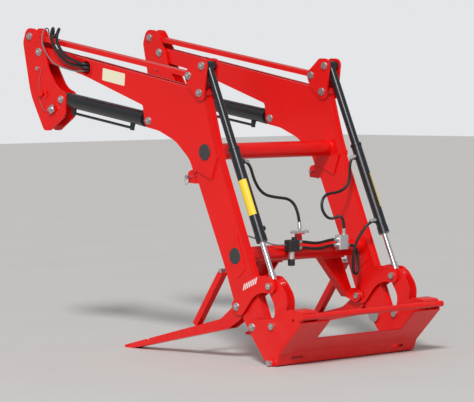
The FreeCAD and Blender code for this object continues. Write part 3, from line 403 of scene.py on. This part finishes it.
hoseLook = {
    "sides": 14,
    "hose": 0.0085,
    "supply": 0.0095,
    "cable": 0.004,
    "bendFrom": (-1.10, -0.5, 1.86),    # where the supply lines start to follow the boom
    "bendTo": (-0.72, -0.5, 1.66),
}
hoseRoutes = {
    "supplyHoseUpper": ("supply", 0.67, [(-1.12, -0.416, 1.834), (-1.09, -0.416, 1.834),
                        (-1.04, -0.452, 1.898), (-0.975, -0.5285, 1.816), (-0.885, -0.5265, 1.712),
                        (-0.79, -0.5245, 1.66), (-0.69, -0.5285, 1.65), (-0.63, -0.5265, 1.634),
                        (-0.622, -0.477, 1.631)]),
    "supplyHoseLower": ("supply", 0.655, [(-1.12, -0.416, 1.81), (-1.08, -0.416, 1.81),
                        (-0.985, -0.44, 1.896), (-0.922, -0.5305, 1.808), (-0.835, -0.5325, 1.714),
                        (-0.748, -0.5305, 1.684), (-0.697, -0.5385, 1.672), (-0.636, -0.5325, 1.656), (-0.634, -0.477, 1.654)]),
    "supplyCable": ("cable", 0.716, [(-1.144, -0.408, 1.848), (-1.144, -0.408, 1.892), (-1.086, -0.5, 1.87),
                    (-1.062, -0.527, 1.78), (-0.965, -0.527, 1.672), (-0.86, -0.522, 1.64),
                    (-0.735, -0.524, 1.616), (-0.648, -0.528, 1.618), (-0.648, -0.477, 1.622)]),
    "tiltHoseRight": ("hose", 0.64, [(0.6567, -0.431, 1.1024), (0.6567, -0.391, 1.1024),
                      (0.6447, -0.34, 0.985), (0.6367, -0.27, 0.915), (0.6367, -0.18, 0.895),
                      (0.6407, -0.05, 0.88), (0.675, -0.027, 0.78), (0.675, -0.027, 0.708)]),
    "tiltHoseLeftUpper": ("hose", 0.656, [(0.6567, 0.431, 1.1024), (0.6567, 0.391, 1.1024),
                          (0.6567, 0.395, 0.96), (0.6467, 0.33, 0.905), (0.6367, 0.205, 0.9),
                          (0.6467, 0.165, 0.82), (0.6667, 0.215, 0.745), (0.73, 0.27, 0.79),
                          (0.73, 0.27, 0.702)]),
    "tiltHoseLeftLower": ("hose", 0.589, [(0.8194, 0.431, 0.7402), (0.8194, 0.391, 0.7402),
                          (0.7894, 0.345, 0.672), (0.7714, 0.314, 0.6), (0.7674, 0.304, 0.5),
                          (0.7634, 0.312, 0.44), (0.7574, 0.352, 0.44), (0.7474, 0.368, 0.52),
                          (0.73, 0.362, 0.604), (0.73, 0.31, 0.604)]),
    "linkHoseLower": ("hose", 0.251, [(0.73, -0.068, 0.61), (0.73, -0.044, 0.61), (0.73, 0.057, 0.594),
                      (0.73, 0.158, 0.61), (0.73, 0.182, 0.61)]),
    "linkHoseUpper": ("hose", 0.251, [(0.73, -0.068, 0.642), (0.73, -0.044, 0.642), (0.73, 0.057, 0.626),
                      (0.73, 0.158, 0.642), (0.73, 0.182, 0.642)]),
    "signalCable": ("cable", 0.303, [(0.628, -0.449, 0.7), (0.628, -0.419, 0.7), (0.678, -0.29, 0.65),
                    (0.722, -0.25, 0.63), (0.722, -0.18, 0.63)]),
}
hoseNodes = {
    "supplyHoseUpper": "supply_hoses", "supplyHoseLower": "supply_hoses", "supplyCable": "supply_cable",
    "tiltHoseRight": "tilt_hoses", "tiltHoseLeftUpper": "tilt_hoses", "tiltHoseLeftLower": "tilt_hoses",
    "linkHoseLower": "link_hoses", "linkHoseUpper": "link_hoses", "signalCable": "signal_cable",
}


def splineCurve(name, points, radius):
    data = bpy.data.curves.new(name, "CURVE")
    data.dimensions = "3D"
    data.resolution_u = 10
    data.bevel_depth = radius
    data.bevel_resolution = 4
    data.use_fill_caps = True
    spline = data.splines.new("NURBS")
    spline.points.add(len(points) - 1)
    for point, place in zip(spline.points, points):
        point.co = tuple(place) + (1.0,)
    spline.order_u = 3
    spline.use_endpoint_u = True
    obj = bpy.data.objects.new(name, data)
    bpy.context.scene.collection.objects.link(obj)
    return obj


def routeLine(name, points):
    # the points that the spline itself passes
    bare = splineCurve(name + "Line", points, 0.0)
    mesh = bpy.data.meshes.new_from_object(bare)
    line = [vertex.co.copy() for vertex in mesh.vertices]
    bpy.data.objects.remove(bare)
    bpy.data.meshes.remove(mesh)
    return line


hoseLines = {}
for name, (kind, length, points) in hoseRoutes.items():
    radius = hoseLook[kind]
    line = routeLine(name, points)
    hoseLines[name] = line
    curve = splineCurve(name, points, radius)
    makeActive(curve)
    bpy.ops.object.convert(target="MESH")
    tube = bpy.context.object
    tube.name = name
    startEdit(tube, "VERT")
    bpy.ops.mesh.select_all(action="SELECT")
    bpy.ops.mesh.remove_doubles(threshold=0.00005)
    bpy.ops.mesh.normals_make_consistent(inside=False)
    endEdit()
    smoothByAngle(tube, 1.0)
    crossing = name.startswith("supply")
    dress(tube, None if crossing else "boom", surface["greyCable" if kind == "cable" else "hoseRubber"])
    if crossing:
        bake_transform(tube)
    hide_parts(hoseNodes[name])
print("hoses made:", len(hoseRoutes))


# crimped ferrules with hexagon nuts on the hose ends

ferruleLook = {
    "length": 0.030,
    "radius": 0.0108,
    "nutWidth": 0.0135,
    "nutLength": 0.011,
    "collar": 0.004,
    "bevel": 0.0009,
    "grooves": 4,
}


def makeFerrule():
    # stands on local Z, its nut at the origin and its mouth towards +Z
    nutLength, collar = ferruleLook["nutLength"], ferruleLook["collar"]
    bpy.ops.mesh.primitive_cylinder_add(vertices=6, radius=ferruleLook["nutWidth"], depth=nutLength,
                                        location=(0, 0, nutLength / 2))
    nut = bpy.context.object
    bevelEdges(nut, ferruleLook["bevel"])
    bpy.ops.mesh.primitive_cylinder_add(vertices=24, radius=ferruleLook["radius"], depth=collar,
                                        location=(0, 0, nutLength + collar / 2))
    sleeve = bpy.context.object
    startEdit(sleeve)
    pickFaces(sleeve, lambda face: face.normal.z > 0.9)
    step = (ferruleLook["length"] - collar) / (2 * ferruleLook["grooves"])
    for groove in range(ferruleLook["grooves"]):
        for narrow in (0.90, 1 / 0.90):
            bpy.ops.transform.resize(value=(narrow, narrow, 1))
            bpy.ops.mesh.extrude_region_move(TRANSFORM_OT_translate={"value": (0, 0, step)})
    bpy.ops.transform.resize(value=(0.86, 0.86, 1))
    endEdit()
    piece = joinPieces([nut, sleeve], "ferruleModel")
    smoothByAngle(piece, 0.6)
    return piece


ferrule = makeFerrule()
ferruleGroups = {}
for name, line in hoseLines.items():
    if name == "signalCable" or name == "supplyCable":
        continue
    size = hoseLook[hoseRoutes[name][0]] / 0.0085
    for end, first, second in (("Start", line[0], line[3]), ("End", line[-1], line[-4])):
        if name.startswith("supply") and end == "End":
            continue
        body = "consoles" if name.startswith("supply") else "boom"
        if name.startswith("link") or (end == "End" and name.startswith("tiltHoseLeft")):
            continue
        piece = copyTo(ferrule, name + end + "Ferrule", first, second - first, size=size)
        ferruleGroups.setdefault(body, []).append(piece)
for body, pieces in ferruleGroups.items():
    dress(joinPieces(pieces, body + "Ferrules"), body, surface["zincSteel"])
bpy.data.objects.remove(ferrule)
print("ferrules made")


# grease nipples in the middle of the pins' outer heads

nippleLook = {"radius": 0.0045, "height": 0.010}
nipplePlaces = {
    # body: node that holds the pins, their x and z, and the sides
    "consoles": [("boom_pivot_pins", -1.100, 1.738), ("levelling_rear_pins", -1.192, 1.835),
                 ("lift_rear_pins", -0.884, 1.450)],
    "boom": [("crank_pivot_pins", 0.393, 1.485), ("lift_front_pins", -0.069, 1.326)],
    "bell_cranks": [("levelling_front_pins", 0.301, 1.582), ("tilt_top_pins", 0.417, 1.636)],
    "lever_pins": [("lever_pivot_pins", 0.690, 0.306)],
    "guide_levers": [("lever_end_pins", 0.957, 0.434)],
    "carrier_pins": [("carrier_pivot_pins", 0.832, 0.203)],
    "carrier": [("link_end_pins", 0.991, 0.219)],
}


def makeNipple():
    radius, height = nippleLook["radius"], nippleLook["height"]
    bpy.ops.mesh.primitive_cylinder_add(vertices=12, radius=radius * 1.5, depth=height * 0.3,
                                        location=(0, 0, height * 0.15))
    piece = bpy.context.object
    startEdit(piece)
    pickFaces(piece, lambda face: face.normal.z > 0.9)
    for width, rise in ((0.55, 0.0), (1.0, 0.3), (1.35, 0.12), (1.0, 0.15), (0.5, 0.13)):
        bpy.ops.mesh.extrude_region_move(TRANSFORM_OT_translate={"value": (0, 0, max(rise, 0.01) * height)})
        bpy.ops.transform.resize(value=(width, width, 1))
    endEdit()
    smoothByAngle(piece, 0.7)
    return piece


nipple = makeNipple()
for body, places in nipplePlaces.items():
    pieces = []
    for node, x, z in places:
        low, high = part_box(node)
        for y, way in ((low.y, -1), (high.y, 1)):
            pieces.append(copyTo(nipple, "nipple", (x, y, z), (0, way, 0)))
    dress(joinPieces(pieces, body + "Nipples"), body, surface["zincSteel"])
bpy.data.objects.remove(nipple)
print("grease nipples made")


# weld beads round the cross tubes, where they meet the arms

weldLook = {
    "tubeRadius": 0.046,
    "bead": 0.0042,
    "segments": 132,
    "ripple": 0.0009,
    "tubes": [(0.420, 1.154), (0.658, 0.583)],
    "faces": [0.439, 0.449],        # inner faces of cheek and arm
}


def makeBead(name, radius, x, y, z):
    bpy.ops.mesh.primitive_torus_add(major_segments=weldLook["segments"], minor_segments=8,
                                     major_radius=radius, minor_radius=weldLook["bead"],
                                     location=(x, y, z), rotation=(math.pi / 2, 0, 0))
    bead = bpy.context.object
    bead.name = name
    startEdit(bead, "VERT")
    bpy.ops.mesh.select_all(action="SELECT")
    bpy.ops.transform.vertex_random(offset=weldLook["ripple"], uniform=0.3, normal=0.6,
                                    seed=int(x * 1000) % 97)
    bpy.ops.mesh.vertices_smooth(factor=0.35)
    endEdit()
    applyAll(bead)
    smoothByAngle(bead, 1.2)
    return bead


beads = []
for (x, z), face in zip(weldLook["tubes"], weldLook["faces"]):
    for side in (-1, 1):
        beads.append(makeBead("tubeBead", weldLook["tubeRadius"] + 0.001, x, side * face, z))
dress(joinPieces(beads, "tubeWelds"), "boom", surface["redPaint"])


def makeSeam(name, points, bead=0.0035):
    # a weld bead along corner points, with even ripples
    length = sum((Vector(b) - Vector(a)).length for a, b in zip(points, points[1:]))
    count = max(8, int(length / 0.006))
    data = bpy.data.curves.new(name, "CURVE")
    data.dimensions = "3D"
    data.bevel_depth = bead
    data.bevel_resolution = 2
    data.use_fill_caps = True
    spline = data.splines.new("POLY")
    spline.points.add(count)
    for step, point in enumerate(spline.points):
        share = step / count * length
        here = Vector(points[0])
        for a, b in zip(points, points[1:]):
            run = (Vector(b) - Vector(a)).length
            if share <= run:
                here = Vector(a).lerp(Vector(b), share / run)
                break
            share -= run
            here = Vector(b)
        point.co = (here.x, here.y, here.z, 1.0)
        point.radius = 1.0 if step % 2 else 0.78
    curve = bpy.data.objects.new(name, data)
    bpy.context.scene.collection.objects.link(curve)
    makeActive(curve)
    bpy.ops.object.convert(target="MESH")
    seam = bpy.context.object
    smoothByAngle(seam, 1.0)
    return seam


seamLook = {
    "cheek": 0.501,       # outer face of the arm's side plate, where the cheek's edge stands on it
    "paths": [
        [(-0.740, 1.705), (-0.740, 1.612)],
        [(0.528, 1.140), (0.472, 1.000), (0.370, 1.040)],
    ],
}
seams = []
for side in (-1, 1):
    for path in seamLook["paths"]:
        seams.append(makeSeam("seam", [(x, side * seamLook["cheek"], z) for x, z in path]))
dress(joinPieces(seams, "cheekWelds"), "boom", surface["redPaint"])
print("welds made")


# bare plates and strips, with nothing on them

plateLook = {
    "armPlate": {"corners": [(-0.486, 1.634), (-0.280, 1.598), (-0.288, 1.527), (-0.494, 1.563)],
                 "face": 0.5112},
    "thickness": 0.0009,
    "bars": {"count": 7, "start": (0.742, 0.398), "step": (0.0165, 0.0068), "up": (0.010, 0.036),
             "width": 0.0085, "slant": 0.003, "face": 0.5222},
    "band": {"from": 0.696, "to": 0.905, "radius": 0.0305, "span": 1.9, "thickness": 0.0004},
}


def makePlate(name, corners, face, side, rounding=0.006):
    # a thin sticker standing on a side face of the arm
    bpy.ops.mesh.primitive_plane_add(size=1.0, location=(0, 0, 0))
    plate = bpy.context.object
    plate.name = name
    startEdit(plate)
    mesh = bmesh.from_edit_mesh(plate.data)
    mesh.verts.ensure_lookup_table()
    order = [0, 1, 3, 2]
    for index, (x, z) in zip(order, corners):
        mesh.verts[index].co = (x, side * face, z)
    bmesh.update_edit_mesh(plate.data)
    bpy.ops.mesh.select_all(action="SELECT")
    bpy.ops.mesh.bevel(offset=rounding, segments=4, affect="VERTICES")
    bpy.ops.mesh.select_all(action="SELECT")
    bpy.ops.mesh.normals_make_consistent(inside=False)
    endEdit()
    makeActive(plate)
    modifier = plate.modifiers.new("thickness", "SOLIDIFY")
    modifier.thickness = plateLook["thickness"]
    modifier.offset = 0.0
    bpy.ops.object.modifier_apply(modifier=modifier.name)
    startEdit(plate)
    bpy.ops.mesh.select_all(action="SELECT")
    bpy.ops.mesh.normals_make_consistent(inside=False)
    endEdit()
    return plate


look = plateLook["armPlate"]
armPlate = makePlate("armPlateRight", look["corners"], look["face"], -1)
dress(armPlate, "boom", surface["palePlate"])
bars = plateLook["bars"]
up, wide, slant = bars["up"], bars["width"], bars["slant"]
for side, label in ((-1, "Right"), (1, "Left")):
    strips = []
    for index in range(bars["count"]):
        x = bars["start"][0] + index * bars["step"][0]
        z = bars["start"][1] + index * bars["step"][1]
        corners = [(x, z), (x + wide, z + slant), (x + wide + up[0], z + slant + up[1]),
                   (x + up[0], z + up[1])]
        strips.append(makePlate("bar", corners, bars["face"], side, 0.001))
    dress(joinPieces(strips, "leverBars" + label), "guide_levers", surface["whitePlate"])


def makeBand(name, side):
    # a strip round the outer half of a tilt cylinder
    top, end = Vector((0.417, side * 0.475, 1.636)), Vector((0.957, side * 0.475, 0.434))
    way = (end - top).normalized()
    band = plateLook["band"]
    bpy.ops.mesh.primitive_cylinder_add(vertices=64, radius=band["radius"],
                                        depth=band["to"] - band["from"], end_fill_type="NOTHING",
                                        location=(0, 0, (band["to"] + band["from"]) / 2))
    strip = bpy.context.object
    strip.name = name
    applyAll(strip)
    strip.data.transform(Matrix.Translation(top) @ turnTo(way))
    startEdit(strip)
    outward = (Vector((0.35, side * 0.94, 0.15))).normalized()
    limit = math.cos(band["span"] / 2)
    pickFaces(strip, lambda face: face.normal.dot(outward) < limit)
    bpy.ops.mesh.delete(type="FACE")
    endEdit()
    makeActive(strip)
    modifier = strip.modifiers.new("thickness", "SOLIDIFY")
    modifier.thickness = band["thickness"]
    modifier.offset = 1.0
    bpy.ops.object.modifier_apply(modifier=modifier.name)
    smoothByAngle(strip, 0.8)
    return strip


for side, label in ((-1, "Right"), (1, "Left")):
    dress(makeBand("cylinderBand" + label, side), "tilt_barrels", surface["yellowPlate"])
print("plates made")


# square washers and nuts on the consoles' locking pins, and the lanyards of the pins

lockLook = {
    "place": (-0.961, 1.392),
    "plate": (0.046, 0.005, 0.046),
    "nutWidth": 0.017,
    "nutHeight": 0.012,
    "wire": 0.0013,
    "lanyard": [(-0.961, -0.534, 1.392), (-1.02, -0.53, 1.37), (-1.09, -0.524, 1.42), (-1.105, -0.5235, 1.52),
                (-1.085, -0.5235, 1.60), (-1.075, -0.521, 1.64)],
}


def makeLockPlate(side):
    x, z = lockLook["place"]
    low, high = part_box("console_lock_pins")
    face = high.y if side > 0 else low.y
    wide, thick, tall = lockLook["plate"]
    bpy.ops.mesh.primitive_cube_add(size=1.0, location=(0, 0, thick / 2))
    plate = bpy.context.object
    plate.scale = (wide, tall, thick)
    applyAll(plate)
    bevelEdges(plate, 0.0012)
    bpy.ops.mesh.primitive_cylinder_add(vertices=6, radius=lockLook["nutWidth"], depth=lockLook["nutHeight"],
                                        location=(0, 0, thick + lockLook["nutHeight"] / 2))
    nut = bpy.context.object
    bevelEdges(nut, 0.001)
    bpy.ops.mesh.primitive_cylinder_add(vertices=24, radius=lockLook["nutWidth"] * 0.55, depth=0.008,
                                        location=(0, 0, thick + lockLook["nutHeight"] + 0.004))
    thread = bpy.context.object
    piece = joinPieces([plate, nut, thread], "lockPlate")
    applyAll(piece)
    smoothByAngle(piece, 0.6)
    placed = copyTo(piece, "lockPlate", (x, face, z), (0, side, 0), 0.35)
    bpy.data.objects.remove(piece)
    return placed


lockPlates = joinPieces([makeLockPlate(-1), makeLockPlate(1)], "lockPlates")
dress(lockPlates, "consoles", surface["zincSteel"])
wire = splineCurve("lanyardWire", lockLook["lanyard"], lockLook["wire"])
makeActive(wire)
bpy.ops.object.convert(target="MESH")
wire = bpy.context.object
smoothByAngle(wire, 1.0)
dress(wire, "consoles", surface["greyCable"])
print("lock pins dressed")


# floor, light and backdrop

studioLook = {
    "floor": (0.60, 0.59, 0.575),
    "ambient": 0.36,
    "keyPower": 2.7,
    "keyTurn": (48.0, 0.0, 40.0),      # degrees
    "fillPower": 110.0,
    "fillPlace": (5.5, -6.5, 3.5),
}


def makeFloor():
    bpy.ops.mesh.primitive_plane_add(size=80.0, location=(0.0, 0.0, 0.0))
    floor = bpy.context.object
    floor.name = "studioFloor"
    material = bpy.data.materials.new("floorSurface")
    material.use_nodes = True
    tree = material.node_tree
    shader = tree.nodes["Principled BSDF"]
    place = addNode(tree, "TexCoord").outputs["Object"]
    cloudy = noiseOf(tree, place, 1.5, 4.0)
    dark = tuple(channel * 0.93 for channel in studioLook["floor"]) + (1,)
    tree.links.new(mixColour(tree, cloudy, studioLook["floor"] + (1,), dark), shader.inputs["Base Color"])
    shader.inputs["Roughness"].default_value = 0.75
    floor.data.materials.append(material)
    floor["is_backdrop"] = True
    return floor


def makeWorld():
    world = bpy.data.worlds.new("studioWorld")
    bpy.context.scene.world = world
    world.use_nodes = True
    tree = world.node_tree
    tree.nodes.clear()
    paths = tree.nodes.new("ShaderNodeLightPath")
    soft = tree.nodes.new("ShaderNodeBackground")
    soft.inputs["Color"].default_value = (1.0, 1.0, 1.0, 1)
    soft.inputs["Strength"].default_value = studioLook["ambient"]
    seen = tree.nodes.new("ShaderNodeBackground")
    seen.inputs["Color"].default_value = (0.78, 0.79, 0.81, 1)
    seen.inputs["Strength"].default_value = 1.0
    blend = tree.nodes.new("ShaderNodeMixShader")
    end = tree.nodes.new("ShaderNodeOutputWorld")
    tree.links.new(paths.outputs["Is Camera Ray"], blend.inputs["Fac"])
    tree.links.new(soft.outputs[0], blend.inputs[1])
    tree.links.new(seen.outputs[0], blend.inputs[2])
    tree.links.new(blend.outputs[0], end.inputs["Surface"])


makeFloor()
makeWorld()
bpy.ops.object.light_add(type="SUN", rotation=[math.radians(angle) for angle in studioLook["keyTurn"]])
key = bpy.context.object
key.data.energy = studioLook["keyPower"]
key.data.angle = math.radians(12)
bpy.ops.object.light_add(type="AREA", location=studioLook["fillPlace"])
fill = bpy.context.object
fill.data.energy = studioLook["fillPower"]
fill.data.shape = "DISK"
fill.data.size = 4.0
fill.rotation_euler = (Vector((0, 0, 1)) - fill.location).to_track_quat("-Z", "Y").to_euler()
bpy.context.scene.view_settings.view_transform = "Standard"
print("studio made")

size = {"cad": [list(map(float, corner)) for corner in cadBox],
        "scene": [list(map(float, corner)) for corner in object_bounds()]}
